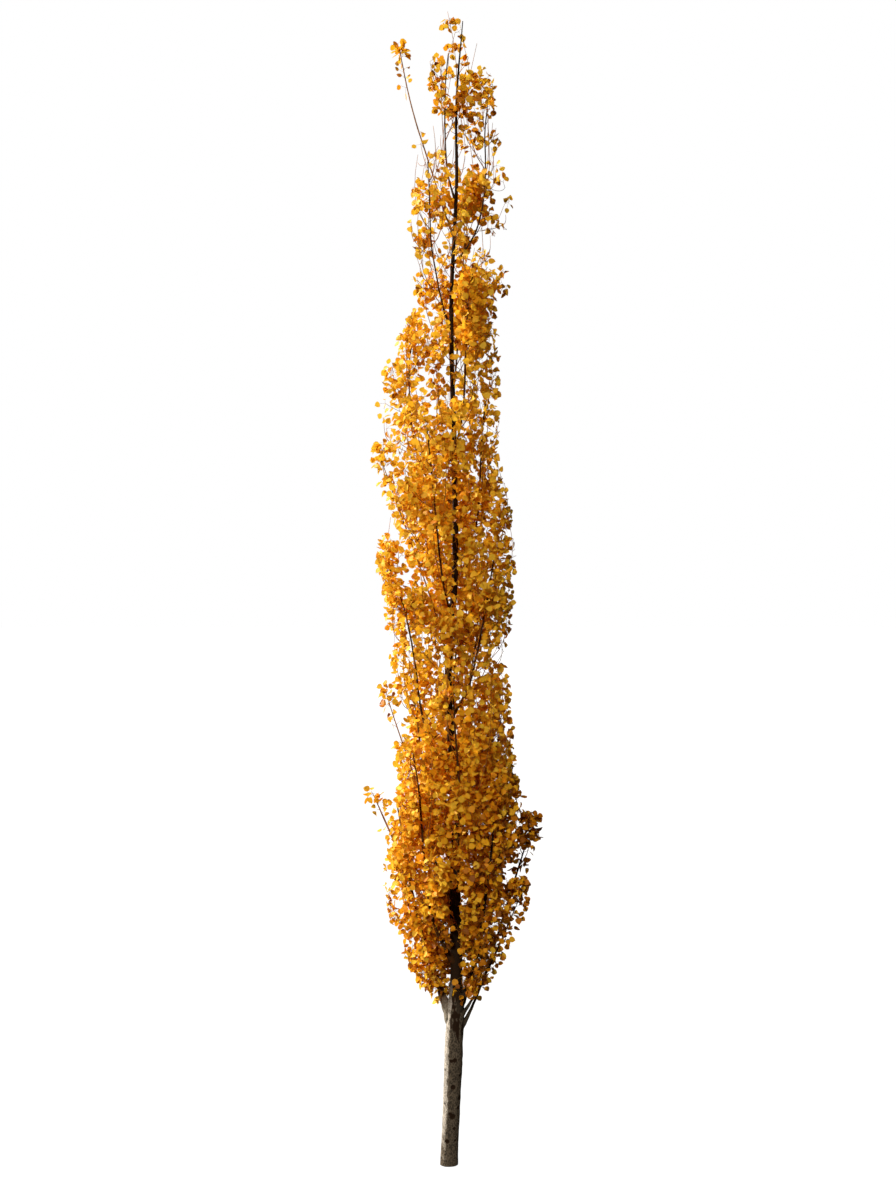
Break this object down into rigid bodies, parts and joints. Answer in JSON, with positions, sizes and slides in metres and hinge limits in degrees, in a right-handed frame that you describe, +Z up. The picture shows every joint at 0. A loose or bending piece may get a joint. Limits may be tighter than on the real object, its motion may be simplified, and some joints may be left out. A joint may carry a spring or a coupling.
{
  "type": "quaking aspen tree",
  "caption": "Tall, narrow quaking aspen in gold autumn leaf, with a bare pale trunk below a steep-limbed columnar crown.",
  "frame": {"origin": "centre of the flat cut under the trunk, at ground level", "axes": "+Z up the trunk, +X to the right of the picture, -Y towards the picture's camera"},
  "size_m": [1.2558, 0.9886, 7.5003],
  "materials": {
    "trunk_bark": "matt, pale grey with dark knots",
    "bough_bark": "matt, red-brown to nearly black",
    "gold_leaf": "satin autumn leaf, golden yellow",
    "amber_leaf": "satin autumn leaf, amber",
    "bronze_leaf": "satin autumn leaf, brown-orange"
  },
  "bodies": {
    "root": {"trunk": "trunk_bark", "bough_01": "bough_bark", "foliage_01": "gold_leaf", "bough_02": "bough_bark", "foliage_02": "amber_leaf", "bough_03": "bough_bark", "foliage_03": "bronze_leaf", "bough_04": "bough_bark", "foliage_04": "gold_leaf", "bough_05": "bough_bark", "foliage_05": "amber_leaf", "bough_06": "bough_bark", "foliage_06": "bronze_leaf", "bough_07": "bough_bark", "foliage_07": "gold_leaf", "bough_08": "bough_bark", "foliage_08": "amber_leaf", "bough_09": "bough_bark", "foliage_09": "bronze_leaf", "bough_10": "bough_bark", "foliage_10": "gold_leaf", "bough_11": "bough_bark", "foliage_11": "amber_leaf", "bough_12": "bough_bark", "foliage_12": "bronze_leaf", "bough_13": "bough_bark", "foliage_13": "gold_leaf", "bough_14": "bough_bark", "foliage_14": "amber_leaf", "bough_15": "bough_bark", "foliage_15": "bronze_leaf", "bough_16": "bough_bark", "foliage_16": "gold_leaf", "bough_17": "bough_bark", "foliage_17": "amber_leaf", "bough_18": "bough_bark", "foliage_18": "bronze_leaf", "bough_19": "bough_bark", "foliage_19": "gold_leaf", "bough_right_shoot": "bough_bark", "foliage_right_shoot": "amber_leaf", "bough_inner_shoot": "bough_bark", "foliage_inner_shoot": "bronze_leaf", "bough_low_left_shoot": "bough_bark", "foliage_low_left_shoot": "gold_leaf", "bough_left_shoot": "bough_bark", "foliage_left_shoot": "amber_leaf", "bough_shoulder_shoot": "bough_bark", "foliage_shoulder_shoot": "bronze_leaf", "bough_top_shoot": "bough_bark", "foliage_top_shoot": "gold_leaf"}
  },
  "joints": []
}
